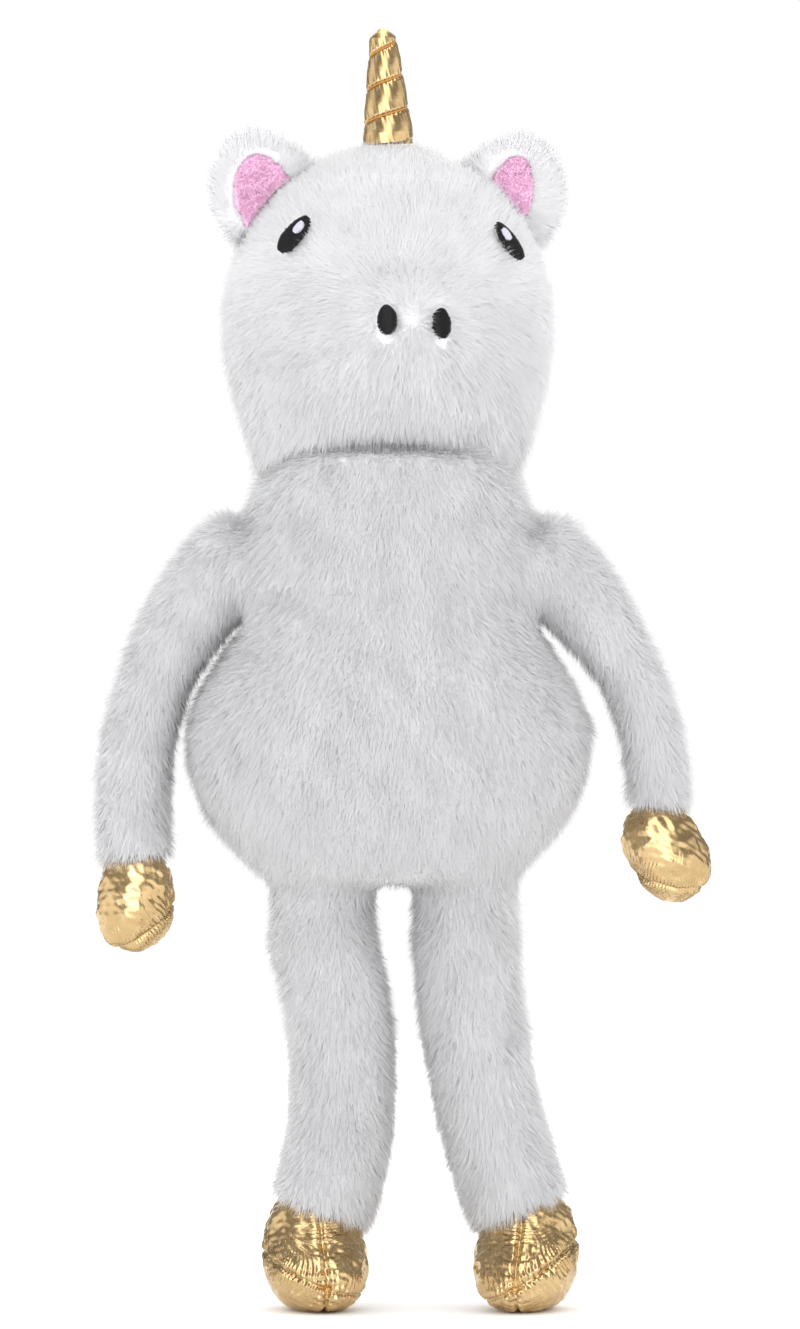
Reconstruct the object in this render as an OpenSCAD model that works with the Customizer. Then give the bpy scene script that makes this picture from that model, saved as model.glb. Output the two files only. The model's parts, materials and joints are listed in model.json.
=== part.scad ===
/* [Torso] */
// Width of the belly at its widest
torso_w = 262; // [220:1:320]
// Depth of the belly, front to back
torso_d = 166; // [140:1:210]
// Height from the flat seat to the neck rim at the sides
torso_h = 276; // [230:1:340]
// Height of the seat above the ground
seat_z = 267; // [220:1:330]

/* [Neck] */
// Width of the neck opening
neck_w = 172; // [130:1:180]
// Depth of the neck opening, front to back
neck_d = 122; // [90:1:140]
// Radius of the rounded neck that nods in the torso's dish
neck_roll_r = 110; // [95:1:140]

/* [Head] */
// Width of the head across the cheeks
head_w = 213; // [180:1:260]
// Depth of the head, without the muzzle
head_d = 144; // [120:1:180]
// Height from the neck rim at the sides to the crown
head_h = 184; // [150:1:230]
// Turn of the face towards the toy's left, degrees
head_turn = 10; // [-20:1:20]
// Width of the muzzle
muzzle_w = 128; // [100:1:150]
// Height of the muzzle
muzzle_h = 108; // [80:1:120]
// How far the muzzle stands out of the face
muzzle_reach = 27; // [10:1:35]
// Height of the muzzle's middle above the neck rim at the sides
muzzle_rise = 44; // [35:1:60]

/* [Ears] */
// Width of an ear
ear_w = 65; // [45:1:75]
// Height of an ear above its root
ear_h = 74; // [50:1:90]
// Thickness of an ear
ear_t = 13; // [8:0.5:18]
// Distance of an ear's root from the middle of the head
ear_x = 70; // [55:1:80]
// Height of an ear's root below the crown
ear_drop = 63; // [45:1:75]
// Outward lean of an ear, degrees
ear_lean = 17; // [0:1:35]
// Thickness of the short-pile lining
lining_t = 2.5; // [1.5:0.5:4]
// Share of the left ear's width that its lining shows
lining_left = 0.48; // [0.3:0.01:0.65]
// Share of the right ear's width that its lining shows
lining_right = 0.62; // [0.3:0.01:0.65]
// How far the left lining sits towards the head
lining_shift = 4; // [0:0.5:5]

/* [Eyes and nostrils] */
// Width of an embroidered eye
eye_w = 15.5; // [10:0.5:22]
// Length of an embroidered eye
eye_l = 28; // [20:0.5:40]
// Lean of an eye's top towards the middle, degrees
eye_lean = 24; // [0:1:60]
// Angle of an eye round the head from its side, degrees
eye_round = 44.5; // [35:1:60]
// Height of an eye as a share of the face's height
eye_rise = 0.69; // [0.6:0.005:0.8]
// Width of the pale highlight
glint_w = 6; // [4:0.5:8]
// Length of the pale highlight
glint_l = 9; // [6:0.5:12]
// Width of a nostril
nostril_w = 13; // [8:0.5:16]
// Height of a nostril
nostril_l = 20; // [12:0.5:26]
// Angle between a nostril and the middle of the face, degrees
nostril_round = 9.3; // [8:0.1:16]
// Height of a nostril above the muzzle's middle
nostril_up = 26; // [15:1:35]
// Thickness of the embroidery
stitch_t = 3; // [2:0.5:5]

/* [Horn] */
// Height of the horn
horn_h = 74; // [50:1:100]
// Width of the horn at its base
horn_w = 31; // [22:1:40]
// Turns of the thread wound round the horn
horn_turns = 3.6; // [2:0.1:6]
// Thickness of the wound thread
horn_thread = 2; // [1:0.25:3]
// Lean of the horn towards the toy's right, degrees
horn_lean = 3; // [0:1:10]

/* [Arms] */
// How far a shoulder's centre sits inside the torso's widest side
shoulder_in = 32; // [25:1:40]
// Height of a shoulder's centre above the seat
shoulder_rise = 199; // [180:1:230]
// Radius of the rounded shoulder
shoulder_r = 33; // [26:1:38]
// Width of the left arm
arm_left_w = 44; // [38:1:56]
// Width of the right arm
arm_right_w = 50; // [38:1:56]
// How far the left wrist hangs outside the torso's widest side
wrist_left_out = 38; // [27:1:60]
// How far the right wrist hangs outside the torso's widest side
wrist_right_out = 27; // [24:1:60]
// How far the left arm's curve swings out beyond its wrist
elbow_left_out = 6; // [-4:1:16]
// How far the right arm's curve swings out beyond its wrist
elbow_right_out = 14; // [-4:1:16]
// Drop from the shoulder's centre to the left wrist
arm_left_drop = 158; // [140:1:200]
// Drop from the shoulder's centre to the right wrist
arm_right_drop = 187; // [140:1:200]

/* [Hands] */
// Width of a hand hoof
hand_w = 48; // [40:1:56]
// Length of a hand hoof below its hinge
hand_l = 43; // [34:1:54]
// Outward tilt of the left hand, degrees
hand_left_tilt = 30; // [0:1:40]
// Outward tilt of the right hand, degrees
hand_right_tilt = 4; // [0:1:40]

/* [Legs] */
// Width of a leg
leg_w = 69; // [56:1:80]
// Distance of the left hip from the middle
hip_left_x = 48; // [38:1:60]
// Distance of the right hip from the middle
hip_right_x = 41; // [38:1:60]
// Distance of the left ankle from the middle
ankle_left_x = 82; // [45:1:100]
// Distance of the right ankle from the middle
ankle_right_x = 42; // [40:1:100]
// Distance of the middle of the left leg's curve
knee_left_x = 54; // [40:1:80]
// Distance of the middle of the right leg's curve
knee_right_x = 16; // [10:1:80]

/* [Feet] */
// Width of a foot hoof
foot_w = 63; // [52:1:76]
// Length of a foot hoof, heel to toe
foot_l = 88; // [70:1:110]
// Height of the ankle's centre above the ground
ankle_z = 46; // [40:1:60]
// Inward turn of a foot, degrees
foot_turn = 10; // [0:1:25]
// Tilt of the left sole seam, degrees
sole_left_tilt = 30; // [0:1:35]
// Tilt of the right sole seam, degrees
sole_right_tilt = 20; // [0:1:35]

/* [Fabric] */
// Thickness of the fur fabric with its pressed pile
fur_t = 5; // [3:0.5:7]
// Thickness of the gold fabric with its backing
gold_t = 3; // [2:0.5:4]
// Room between a cover and its stuffing
stuffing_gap = 0.3; // [0.2:0.1:1]
// Room between two sewn panels of one body
seam_gap = 0.2; // [0.1:0.1:0.5]
// Room between two bodies that move on each other
joint_gap = 0.6; // [0.4:0.1:1.5]

/* [Hidden] */
LEFT = 1;
RIGHT = -1;
around = 28;  // points round a torso or head ring
limb_around = 18;  // points round a limb ring
facet_room = 0.9;  // extra room where two faceted balls nest
far = 600;  // reach of a cutting half-space

// Places that several pieces share
rim_z = seat_z + torso_h;
neck_z = rim_z + sqrt(neck_roll_r * neck_roll_r - neck_d * neck_d / 4);
crown_z = rim_z + head_h;
shoulder_z = seat_z + shoulder_rise;
shoulder_x = torso_w / 2 - shoulder_in;
wrist_left_x = torso_w / 2 + wrist_left_out;
wrist_right_x = torso_w / 2 + wrist_right_out;
hip_r = leg_w / 2;
hip_z = seat_z - joint_gap - hip_r;
hand_r = hand_w / 2 - 0.5;
foot_r = foot_w / 2 - 1;
wrist_step = 13;  // from a sleeve's rim to its hand's hinge
ankle_step = 15;  // from a leg's rim to its foot's hinge
horn_seat_r = horn_w / 2 + 2;
ladder_r = 0.8;  // half-thickness of the thread that closes the back
ladder_gap = 0.3;

// Half the reach to each side, so that the origin stands under the middle
function reach(x, tilt) = x + 0.72 * hand_l * sin(tilt) + 0.9 * hand_r * cos(tilt);
reach_left = reach(wrist_left_x, hand_left_tilt);
reach_right = max(reach(wrist_right_x, hand_right_tilt),
    wrist_right_x + arm_right_w / 2 + 0.16 * elbow_right_out);
mid_x = (reach_right - reach_left) / 2;
front_y = head_d / 2 + muzzle_reach - 0.3;
back_y = torso_d / 2 + ladder_gap + 2 * ladder_r;
mid_y = (front_y - back_y) / 2;

function pick(side, l, r) = side > 0 ? l : r;
function arm_w(side) = pick(side, arm_left_w, arm_right_w);
function wrist_x(side) = side * pick(side, wrist_left_x, wrist_right_x);
function wrist_z(side) = shoulder_z - pick(side, arm_left_drop, arm_right_drop);
function elbow_out(side) = pick(side, elbow_left_out, elbow_right_out);
function hand_tilt(side) = side * pick(side, hand_left_tilt, hand_right_tilt);
function hip_x(side) = side * pick(side, hip_left_x, hip_right_x);
function knee_x(side) = side * pick(side, knee_left_x, knee_right_x);
function ankle_x(side) = side * pick(side, ankle_left_x, ankle_right_x);
function sole_tilt(side) = side * pick(side, sole_left_tilt, sole_right_tilt);

// Vectors and curves
function unit(v) = v / norm(v);
function bend(a, c, b, t) = (1 - t) * (1 - t) * a + 2 * t * (1 - t) * c + t * t * b;
function bend_dir(a, c, b, t) = unit((1 - t) * (c - a) + t * (b - c));
function turned(v, a) = [v[0] * cos(a) - v[1] * sin(a), v[0] * sin(a) + v[1] * cos(a), v[2]];

// The middle of a ring's points
function ring_middle(r) = [for (k = [0:2]) [for (p = r) p[k]] * [for (p = r) 1] / len(r)];

// A closed solid through rings of equal point counts, capped by fans at both ends. The rings go
// down the solid, or up it when it is rising.
module skin(rings, first = undef, last = undef, rising = false) {
    n = len(rings[0]);
    m = len(rings);
    start = is_undef(first) ? ring_middle(rings[0]) : first;
    end = is_undef(last) ? ring_middle(rings[m - 1]) : last;
    points = concat([for (r = rings) each r], [start, end]);
    sides = [for (i = [0:m - 2], j = [0:n - 1]) let (k = (j + 1) % n)
        each [[i * n + j, i * n + k, (i + 1) * n + j], [i * n + k, (i + 1) * n + k, (i + 1) * n + j]]];
    head = [for (j = [0:n - 1]) [m * n, (j + 1) % n, j]];
    tail = [for (j = [0:n - 1]) [m * n + 1, (m - 1) * n + j, (m - 1) * n + (j + 1) % n]];
    faces = concat(sides, head, tail);
    polyhedron(points, rising ? [for (f = faces) [f[0], f[2], f[1]]] : faces, convexity = 6);
}

// A ring round c: half-width a along the direction u, half-depth b along Y
function ring(c, u, a, b, n = limb_around) =
    [for (j = [0:n - 1]) let (t = 360 * j / n) c + a * cos(t) * u + [0, b * sin(t), 0]];

// The angle of point j round a torso or head ring, with no point on the side seams
function spread(j) = 360 * (j + 0.5) / around;

// The neck's rounded underside at depth y, for a roll of radius r that lies from side to side
function neck_under(y, r) = neck_z - sqrt(r * r - y * y);

// Torso shape: height share, width share and depth share, led into the neck at the top
neck_share_w = neck_w / torso_w;
neck_share_d = neck_d / torso_d;
TORSO = [
    [0, 0.55, 0.55], [0.012, 0.63, 0.68], [0.05, 0.715, 0.77], [0.105, 0.82, 0.87],
    [0.175, 0.91, 0.94], [0.265, 0.975, 0.99], [0.37, 1, 1], [0.47, 0.925, 0.96],
    [0.57, 0.81, 0.88], [0.68, 0.745, 0.80], [0.8, 1.12 * neck_share_w, 1.034 * neck_share_d],
    [0.91, 1.089 * neck_share_w, 1.014 * neck_share_d]];

function torso_ring(s, a, b, inset, r) = [for (j = [0:around - 1])
    let (t = spread(j), x = (a - inset) * cos(t), y = (b - inset) * sin(t),
         rim = neck_under((neck_d / 2 - inset) * sin(t), r))
    [x, y, seat_z + inset + s * (rim - seat_z - inset)]];

// The torso drawn in by inset, with the dish that the neck nods in
module torso_form(inset = 0) {
    r = neck_roll_r + joint_gap + facet_room + inset;
    body = [for (s = TORSO) torso_ring(s[0], s[1] * torso_w / 2, s[2] * torso_d / 2, inset, r)];
    dish = [for (k = [1, 0.75, 0.5, 0.25])
        [for (j = [0:around - 1]) let (t = spread(j),
            x = k * (neck_w / 2 - inset) * cos(t), y = k * (neck_d / 2 - inset) * sin(t))
            [x, y, neck_under(y, r)]]];
    skin(concat(body, dish), last = [0, 0, neck_z - r], rising = true);
}

// Where a rounded shoulder sits in the torso, and the room that the arm's inner side swings in
module shoulder_rooms() {
    for (side = [LEFT, RIGHT]) {
        edge = [for (t = [0.02:0.06:0.62]) arm_inner_edge(side, t)];
        last = edge[len(edge) - 1][0];
        translate([side * shoulder_x, 0, shoulder_z]) sphere(shoulder_r + joint_gap, $fn = 48);
        translate([0, 0, shoulder_z]) rotate([0, side * 90, 0]) rotate_extrude($fn = 48)
            polygon(concat([[0, edge[0][1]]], edge, [[last, torso_w], [0, torso_w]]));
    }
}

module half(front) {
    translate([-far / 2, front ? -far - seam_gap / 2 : seam_gap / 2, 0])
        cube([far, far, 2 * far]);
}

module place() {
    translate([mid_x, mid_y, 0]) children();
}

module torso_panel(front) {
    place() difference() {
        intersection() {
            torso_form();
            half(front);
        }
        torso_form(fur_t);
        shoulder_rooms();
    }
}

module torso_front_panel() {
    color("white") torso_panel(true);
}

module torso_back_panel() {
    color("whitesmoke") torso_panel(false);
}

module torso_stuffing() {
    color("lightyellow") place() difference() {
        torso_form(fur_t + stuffing_gap);
        shoulder_rooms();
    }
}

// Ladder stitches that close the back after stuffing
module closing_seam_thread() {
    stitches = 9;
    pitch = 7;
    color("snow") place()
        for (i = [0:stitches - 1])
            translate([0, torso_d / 2 + ladder_r + ladder_gap,
                seat_z + 0.37 * torso_h + (i - stitches / 2) * pitch])
                rotate([0, 90, 0]) cylinder(r = ladder_r, h = pitch, center = true, $fn = 16);
}

// Head shape: height share, width share and depth share, led out of the neck at the bottom
head_foot_w = neck_w / head_w;
head_foot_d = neck_d / head_d;
HEAD = [
    [0.03, 0.991 * head_foot_w, 1.045 * head_foot_d],
    [0.09, 1.065 * head_foot_w, 1.098 * head_foot_d], [0.16, 0.905, 0.96], [0.27, 0.96, 0.99],
    [0.38, 0.99, 1], [0.47, 1, 1], [0.56, 0.975, 0.99], [0.66, 0.92, 0.965],
    [0.76, 0.825, 0.90], [0.86, 0.67, 0.77], [0.94, 0.45, 0.55], [0.985, 0.27, 0.33]];

function muzzle(x, z) =
    let (q = pow(x / (muzzle_w / 2), 2) + pow((z - rim_z - muzzle_rise) / (muzzle_h / 2), 2))
    q < 1 ? muzzle_reach * pow(1 - q, 0.6) : 0;

// A chin point drawn in to the roll that the head nods on, so that it clears the torso
function on_roll(p, r) =
    let (far_out = norm([p[1], p[2] - neck_z]), k = r / far_out)
    p[1] < 0 && p[2] < neck_z && far_out > r ? [p[0], p[1] * k, neck_z + (p[2] - neck_z) * k] : p;

// A point of the head at height share s and angle t, drawn in by inset
function head_point(s, a, b, t, inset) =
    let (x = (a - inset) * cos(t), y = (b - inset) * sin(t),
         foot = turned([neck_w / 2 * cos(t), neck_d / 2 * sin(t), 0], head_turn),
         rim = neck_under(foot[1], neck_roll_r) + inset,
         z = rim + s * (crown_z - inset - rim))
    on_roll(turned([x, y < 0 ? y - muzzle(x, z) * pow(-sin(t), 0.5) : y, z], head_turn),
        neck_roll_r - inset);

module head_form(inset = 0) {
    r = neck_roll_r - inset;
    neck = [for (k = [0.25, 0.5, 0.75, 1]) [for (j = [0:around - 1]) let (t = spread(j),
        x = k * (neck_w / 2 - inset) * cos(t), y = k * (neck_d / 2 - inset) * sin(t),
        p = turned([x, y, 0], head_turn))
        [p[0], p[1], neck_under(p[1], r)]]];
    body = [for (s = HEAD) [for (j = [0:around - 1])
        head_point(s[0], s[1] * head_w / 2, s[2] * head_d / 2, spread(j), inset)]];
    seat = [for (j = [0:around - 1]) let (t = spread(j), q = horn_seat_r)
        turned([q * cos(t), q * sin(t), crown_z - inset], head_turn)];
    skin(concat(neck, body, [seat]), first = [0, 0, neck_z - r], rising = true);
}

// Shares of width and depth at height share s
function share(s, k) = lookup(s, [for (h = HEAD) [h[0], h[k]]]);
function face_point(s, t) =
    head_point(s, share(s, 1) * head_w / 2, share(s, 2) * head_d / 2, t, 0);

// Stand children on the face at height share s and angle t, with Z outwards and Y upwards
module on_face(s, t) {
    p = face_point(s, t);
    up = unit(face_point(s + 0.03, t) - face_point(s - 0.03, t));
    across = unit(face_point(s, t + 3) - face_point(s, t - 3));
    out = unit(cross(across, up));
    right = cross(up, out);
    multmatrix([
        [right[0], up[0], out[0], p[0]], [right[1], up[1], out[1], p[1]],
        [right[2], up[2], out[2], p[2]], [0, 0, 0, 1]])
        children();
}

// An egg-shaped outline, narrower at its top by the share taper
module egg(w, l, taper, grow = 0) {
    points = 24;
    polygon([for (j = [0:points - 1]) let (t = 360 * j / points)
        [(w / 2 + grow) * cos(t) * (1 - taper * sin(t)), (l / 2 + grow) * sin(t)]]);
}

eye_depth = 2;  // how deep the embroidery sits in the fur
module at_eye(side) {
    on_face(eye_rise, -90 + side * (90 - eye_round)) rotate([0, 0, side * eye_lean]) children();
}

module at_nostril(side) {
    on_face((muzzle_rise + nostril_up) / head_h, -90 + side * nostril_round) children();
}

module eye_pad(side, grow = 0) {
    at_eye(side) translate([0, 0, -eye_depth - grow])
        linear_extrude(stitch_t + grow + (grow > 0 ? 20 : 0)) egg(eye_w, eye_l, 0.12, grow);
}

module nostril_pad(side, grow = 0) {
    at_nostril(side) translate([0, 0, -eye_depth - grow])
        linear_extrude(stitch_t + grow + (grow > 0 ? 20 : 0)) egg(nostril_w, nostril_l, 0, grow);
}

module head_panel(front) {
    place() difference() {
        intersection() {
            head_form();
            rotate([0, 0, head_turn]) half(front);
        }
        head_form(fur_t);
        if (front)
            for (side = [LEFT, RIGHT]) {
                eye_pad(side, seam_gap);
                nostril_pad(side, seam_gap);
            }
    }
}

module head_face_panel() {
    color("white") head_panel(true);
}

module head_back_panel() {
    color("whitesmoke") head_panel(false);
}

module head_stuffing() {
    color("lightyellow") place() head_form(fur_t + stuffing_gap);
}

// Embroidered eyes, each with a hole where its highlight sits
glint_rise = 5;
module glint_pad(side, grow = 0) {
    at_eye(side) translate([side * -1, glint_rise, stitch_t - eye_depth - 1])
        linear_extrude(1.4 + grow) egg(glint_w, glint_l, 0, grow);
}

module eye(side) {
    color("black") place() difference() {
        eye_pad(side);
        glint_pad(side, seam_gap);
    }
}

module eye_left() {
    eye(LEFT);
}

module eye_right() {
    eye(RIGHT);
}

module eye_glint(side) {
    color("lavender") place() at_eye(side)
        translate([side * -1, glint_rise, stitch_t - eye_depth - 1 + seam_gap])
            linear_extrude(1.4) egg(glint_w, glint_l, 0);
}

module eye_left_glint() {
    eye_glint(LEFT);
}

module eye_right_glint() {
    eye_glint(RIGHT);
}

module nostril_left() {
    color("black") place() nostril_pad(LEFT);
}

module nostril_right() {
    color("black") place() nostril_pad(RIGHT);
}

// Ear shape: share of height and share of half-width
EAR = [
    [0, 0.62], [0.15, 0.82], [0.32, 0.97], [0.5, 1], [0.66, 0.92], [0.8, 0.74], [0.91, 0.5], [0.98, 0.22]];

function ear_ring(v, w, back, front) = let (n = 20, c = 0.12)
    [for (j = [0:n - 1]) let (t = 360 * j / n, x = w * cos(t), y = -c * w * (cos(t) * cos(t) - 1))
        [x, y + (sin(t) > 0 ? back : front) * abs(sin(t)), v]];

module at_ear(side) {
    rotate([0, 0, head_turn]) translate([side * ear_x, 0, crown_z - ear_drop])
        rotate([0, side * ear_lean, 0]) children();
}

module ear_shell(side) {
    color("white") place() difference() {
        at_ear(side)
            skin([for (e = EAR) ear_ring(e[0] * ear_h, e[1] * ear_w / 2, ear_t * 0.6, -ear_t * 0.4)],
                rising = true);
        head_form(-seam_gap);
    }
}

module ear_lining(side) {
    gap = seam_gap + 0.1;
    span = ear_w / 2 * pick(side, lining_left, lining_right);
    color("pink") place() difference() {
        at_ear(side) translate([pick(side, -lining_shift, 0), 0, 0])
            skin([for (e = EAR) let (w = e[1] * span, v = (0.08 + 0.72 * e[0]) * ear_h)
                [for (j = [0:19]) let (t = 360 * j / 20, x = w * cos(t))
                    [x, 0.12 * w * sin(t) * sin(t) - ear_t * 0.4 - gap
                        + (sin(t) > 0 ? 0 : lining_t * sin(t)), v]]], rising = true);
        head_form(-seam_gap);
    }
}

module ear_left_shell() {
    ear_shell(LEFT);
}

module ear_right_shell() {
    ear_shell(RIGHT);
}

module ear_left_lining() {
    ear_lining(LEFT);
}

module ear_right_lining() {
    ear_lining(RIGHT);
}

// Horn outline: half-width at height z
function horn_r(z) = let (s = z / horn_h) horn_w / 2 * (1 - 0.52 * s - 0.1 * s * s);
tip_r = 5.5;  // round of the horn's tip

module horn_profile(inset = 0) {
    top = horn_h - tip_r;
    polygon(concat(
        [[0, inset], [horn_r(inset) - inset, inset]],
        [for (i = [1:6]) let (z = top * i / 6) [horn_r(z) - inset, z]],
        [for (a = [20:20:80]) [(horn_r(top) - inset) * cos(a), top + (tip_r - inset) * sin(a)]],
        [[0, horn_h - inset]]));
}

module at_horn() {
    translate([0, 0, crown_z + seam_gap + horn_w / 2 * sin(horn_lean)])
        rotate([0, -horn_lean, 0]) children();
}

module horn_cover() {
    color("goldenrod") place() at_horn() difference() {
        rotate_extrude($fn = 48) horn_profile();
        rotate_extrude($fn = 48) horn_profile(gold_t);
    }
}

module horn_stuffing() {
    color("lightyellow") place() at_horn()
        rotate_extrude($fn = 48) horn_profile(gold_t + stuffing_gap);
}

// Thread wound up the horn as a rising helix
module horn_thread() {
    steps = 16 * horn_turns;
    r = horn_thread / 2;
    low = 6;
    high = horn_h - 15;
    color("orange") place() at_horn()
        skin([for (i = [0:steps]) let (z = low + (high - low) * i / steps, a = 360 * i / 16,
            q = horn_r(z) + r + 0.3)
            [for (j = [0:5]) let (t = 60 * j)
                [(q + r * cos(t)) * cos(a), (q + r * cos(t)) * sin(a), z + r * sin(t)]]]);
}

// Arms: a curve from the shoulder down to the wrist
function arm_a(side) = [side * shoulder_x, 0, shoulder_z];
function arm_c(side) = [wrist_x(side) + side * elbow_out(side), 0, shoulder_z - 72];
function arm_b(side) = [wrist_x(side), 0, wrist_z(side)];

// The arm's inner side at share t, as its distance below the shoulder and from the middle
function arm_inner_edge(side, t) =
    let (p = bend(arm_a(side), arm_c(side), arm_b(side), t),
         dir = bend_dir(arm_a(side), arm_c(side), arm_b(side), t),
         r = shoulder_r * (1 - settled(t)) + arm_w(side) / 2 * settled(t) + joint_gap
             + facet_room)
    [shoulder_z - p[2] + r * abs(dir[0]), abs(p[0]) - r * abs(dir[2])];

// How far the change from a limb's root to its even width has gone at share t
function settled(t) = min(1, t * 2.4);

// A limb from a ball at its root to a hollow end that takes the next ball. Drawn as a bore, it
// runs on past that end, to open the sleeve it is cut from.
module limb(a, c, b, root_r, w, d, ball_r, step, inset = 0, bore = false) {
    r0 = root_r - inset;
    d0 = bend_dir(a, c, b, 0);
    d1 = bend_dir(a, c, b, 1);
    function across(v) = [-v[2], 0, v[0]];
    cap = [for (f = [15, 38, 62, 84])
        ring(a - d0 * r0 * cos(f), across(d0), r0 * sin(f), r0 * sin(f))];
    hollow_r = ball_r + joint_gap + facet_room;
    centre = b + d1 * step;
    tube = [for (i = [1:6]) let (t = i / 7, m = settled(t), dir = bend_dir(a, c, b, t))
        ring(bend(a, c, b, t), across(dir), (root_r * (1 - m) + w / 2 * m) - inset,
            (root_r * (1 - m) + d / 2 * m) - inset)];
    open_r = min(w, d) / 2 - inset;
    end_step = bore ? step : max(step, sqrt(max(0, hollow_r * hollow_r - open_r * open_r)));
    end = [ring(centre - d1 * end_step, across(d1), w / 2 - inset, d / 2 - inset)];
    rim = acos(step / hollow_r);
    hollow = [for (k = [0.97, 0.6, 0.25]) let (f = rim * k)
        ring(centre - d1 * hollow_r * cos(f), across(d1), hollow_r * sin(f), hollow_r * sin(f))];
    inner = [for (h = hollow) if (norm(h[0] - ring_middle(h)) < w / 2 - inset - 0.5) h];
    run_on = [ring(centre, across(d1), w / 2 - inset, d / 2 - inset)];
    skin(concat(cap, tube, end, bore ? run_on : inner),
        first = a - d0 * r0, last = centre + d1 * (bore ? 1 : -hollow_r));
}

module arm_form(side, inset = 0, bore = false) {
    limb(arm_a(side), arm_c(side), arm_b(side), shoulder_r, arm_w(side), arm_w(side),
        hand_r, wrist_step, inset, bore);
}

module arm_sleeve(side) {
    color("white") place() difference() {
        arm_form(side);
        arm_form(side, fur_t, bore = true);
    }
}

module arm_stuffing(side) {
    color("lightyellow") place() arm_form(side, fur_t + stuffing_gap);
}

module arm_left_sleeve() {
    arm_sleeve(LEFT);
}

module arm_right_sleeve() {
    arm_sleeve(RIGHT);
}

module arm_left_stuffing() {
    arm_stuffing(LEFT);
}

module arm_right_stuffing() {
    arm_stuffing(RIGHT);
}

// Hands: a rounded hoof below the wrist's hinge, drawn pointing down
HAND = [[0, 1], [0.25, 1.03], [0.5, 1.02], [0.72, 0.9], [0.88, 0.68], [0.97, 0.38]];
module at_wrist(side) {
    translate(arm_b(side) - [0, 0, wrist_step]) rotate([0, -hand_tilt(side), 0]) children();
}

module hand_form(inset = 0) {
    r = hand_r - inset;
    cap = [for (f = [15, 38, 62]) ring([0, 0, r * cos(f)], [1, 0, 0], r * sin(f), r * sin(f))];
    hoof = [for (h = HAND) ring([0, 0, -h[0] * (hand_l - inset)], [1, 0, 0], r * h[1], r * h[1])];
    skin(concat(cap, hoof), first = [0, 0, r], last = [0, 0, -hand_l + inset]);
}

// Everything beyond the sole seam, which slants across the hoof's end
module hand_sole_side(side, shift) {
    rotate([22, 0, 0]) rotate([0, side * 38, 0]) translate([-far / 2, -far / 2, -far - hand_l * 0.56 + shift])
        cube([far, far, far]);
}

module hand_wrap(side) {
    color("gold") place() at_wrist(side) difference() {
        hand_form();
        hand_form(gold_t);
        hand_sole_side(side, seam_gap);
    }
}

module hand_sole(side) {
    color("goldenrod") place() at_wrist(side) intersection() {
        difference() {
            hand_form();
            hand_form(gold_t);
        }
        hand_sole_side(side, 0);
    }
}

module hand_stuffing(side) {
    color("lightyellow") place() at_wrist(side) hand_form(gold_t + stuffing_gap);
}

module hand_left_wrap() {
    hand_wrap(LEFT);
}

module hand_right_wrap() {
    hand_wrap(RIGHT);
}

module hand_left_sole() {
    hand_sole(LEFT);
}

module hand_right_sole() {
    hand_sole(RIGHT);
}

module hand_left_stuffing() {
    hand_stuffing(LEFT);
}

module hand_right_stuffing() {
    hand_stuffing(RIGHT);
}

// Legs: a curve from the hip down to the ankle
function leg_a(side) = [hip_x(side), 0, hip_z];
function leg_b(side) = [ankle_x(side), 0, ankle_z + ankle_step];
function leg_c(side) = [knee_x(side), 0, (hip_z + leg_b(side)[2]) / 2 - 12];

module leg_form(side, inset = 0, bore = false) {
    limb(leg_a(side), leg_c(side), leg_b(side), hip_r, leg_w, leg_w, foot_r, ankle_step, inset, bore);
}

module leg_sleeve(side) {
    color("white") place() difference() {
        leg_form(side);
        leg_form(side, fur_t, bore = true);
    }
}

module leg_stuffing(side) {
    color("lightyellow") place() leg_form(side, fur_t + stuffing_gap);
}

module leg_left_sleeve() {
    leg_sleeve(LEFT);
}

module leg_right_sleeve() {
    leg_sleeve(RIGHT);
}

module leg_left_stuffing() {
    leg_stuffing(LEFT);
}

module leg_right_stuffing() {
    leg_stuffing(RIGHT);
}

// Feet: share of height below the hinge, half-width share, heel and toe shares of the length
FOOT = [
    [0.12, 1.02, 0.36, 0.42], [0.32, 1.05, 0.36, 0.54], [0.55, 1.02, 0.34, 0.62],
    [0.76, 0.9, 0.3, 0.62], [0.91, 0.7, 0.24, 0.55], [0.98, 0.52, 0.19, 0.46], [1, 0.42, 0.16, 0.4]];

function foot_hinge(side) = leg_b(side)
    + ankle_step * bend_dir(leg_a(side), leg_c(side), leg_b(side), 1);

module at_ankle(side) {
    p = foot_hinge(side);
    translate([p[0], p[1], p[2]]) rotate([0, 0, side * -foot_turn]) children();
}

module foot_form(side, inset = 0) {
    r = foot_r - inset;
    drop = foot_hinge(side)[2] - inset;
    cap = [for (f = [15, 38, 62, 84]) ring([0, 0, r * cos(f)], [1, 0, 0], r * sin(f), r * sin(f))];
    hoof = [for (s = FOOT) let (back = s[2] * foot_l - inset, front = s[3] * foot_l - inset)
        ring([0, (back - front) / 2, -s[0] * drop], [1, 0, 0],
            foot_w / 2 * s[1] - inset, (back + front) / 2)];
    skin(concat(cap, hoof), first = [0, 0, r]);
}

// Everything below the sole seam, whose front is higher than its back
sole_pitch = 9;
module foot_sole_side(side, shift) {
    translate([0, 0, -ankle_z * 0.5 + shift]) rotate([sole_pitch, 0, 0])
        rotate([0, -sole_tilt(side), 0]) translate([-far / 2, -far / 2, -far]) cube([far, far, far]);
}

module foot_shell(side) {
    difference() {
        foot_form(side);
        foot_form(side, gold_t);
    }
}

// One of the two upper panels: way is 1 on the outer half, -1 on the inner half
module foot_upper(side, way) {
    place() at_ankle(side) difference() {
        foot_shell(side);
        foot_sole_side(side, seam_gap);
        translate([side * way * (-far / 2 + seam_gap / 2), 0, 0]) cube([far, far, far], center = true);
    }
}

module foot_outer_panel(side) {
    color("gold") foot_upper(side, 1);
}

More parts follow.
